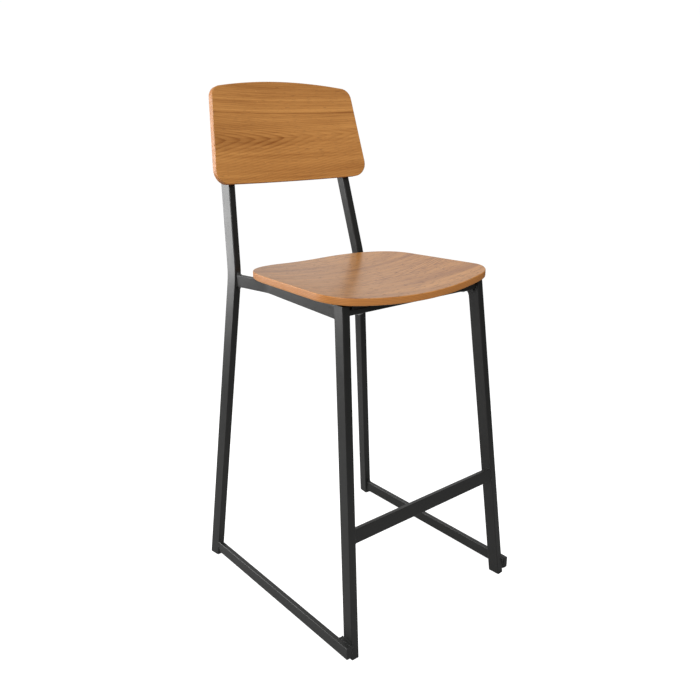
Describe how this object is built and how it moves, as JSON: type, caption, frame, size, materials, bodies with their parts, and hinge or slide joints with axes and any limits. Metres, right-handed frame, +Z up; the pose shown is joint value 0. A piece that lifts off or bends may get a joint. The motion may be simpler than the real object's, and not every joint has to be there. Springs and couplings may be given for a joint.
{
  "type": "bar stool",
  "caption": "Tall bar stool with a curved plywood seat and backrest on a splayed square-tube steel frame, with a footrest bar and floor runners.",
  "frame": {"origin": "on the floor under the middle of the stool's bounding box", "axes": "+X to the right seen from the front, the stool faces -Y with the backrest at +Y, +Z up"},
  "size_m": [0.5206, 0.5748, 1.132],
  "materials": {
    "frame_steel": "black satin powder coat",
    "black_plastic": "moulded, fine texture",
    "spacer_rubber": "matt",
    "seat_ply": "semi-gloss clear lacquer on veneer, layered edge",
    "back_ply": "semi-gloss clear lacquer on veneer, layered edge",
    "zinc_fixings": "zinc plated"
  },
  "bodies": {
    "root": {"left_rear_upright": "frame_steel", "right_rear_upright": "frame_steel", "left_front_leg": "frame_steel", "right_front_leg": "frame_steel", "left_seat_rail": "frame_steel", "right_seat_rail": "frame_steel", "left_runner": "frame_steel", "right_runner": "frame_steel", "left_runner_spacer": "frame_steel", "right_runner_spacer": "frame_steel", "front_cross_rail": "frame_steel", "rear_cross_rail": "frame_steel", "footrest_bar": "frame_steel", "left_weld_fillets": "frame_steel", "right_weld_fillets": "frame_steel", "left_upright_cap": "black_plastic", "right_upright_cap": "black_plastic", "left_runner_cap": "black_plastic", "right_runner_cap": "black_plastic", "left_rear_glide": "black_plastic", "right_rear_glide": "black_plastic", "left_front_glide": "black_plastic", "right_front_glide": "black_plastic", "seat_panel": "seat_ply", "backrest_panel": "back_ply", "seat_spacers": "spacer_rubber", "seat_bolts": "zinc_fixings", "seat_bolt_washers": "zinc_fixings", "seat_inserts": "zinc_fixings", "backrest_bolts": "zinc_fixings", "backrest_inserts": "zinc_fixings"}
  },
  "joints": []
}
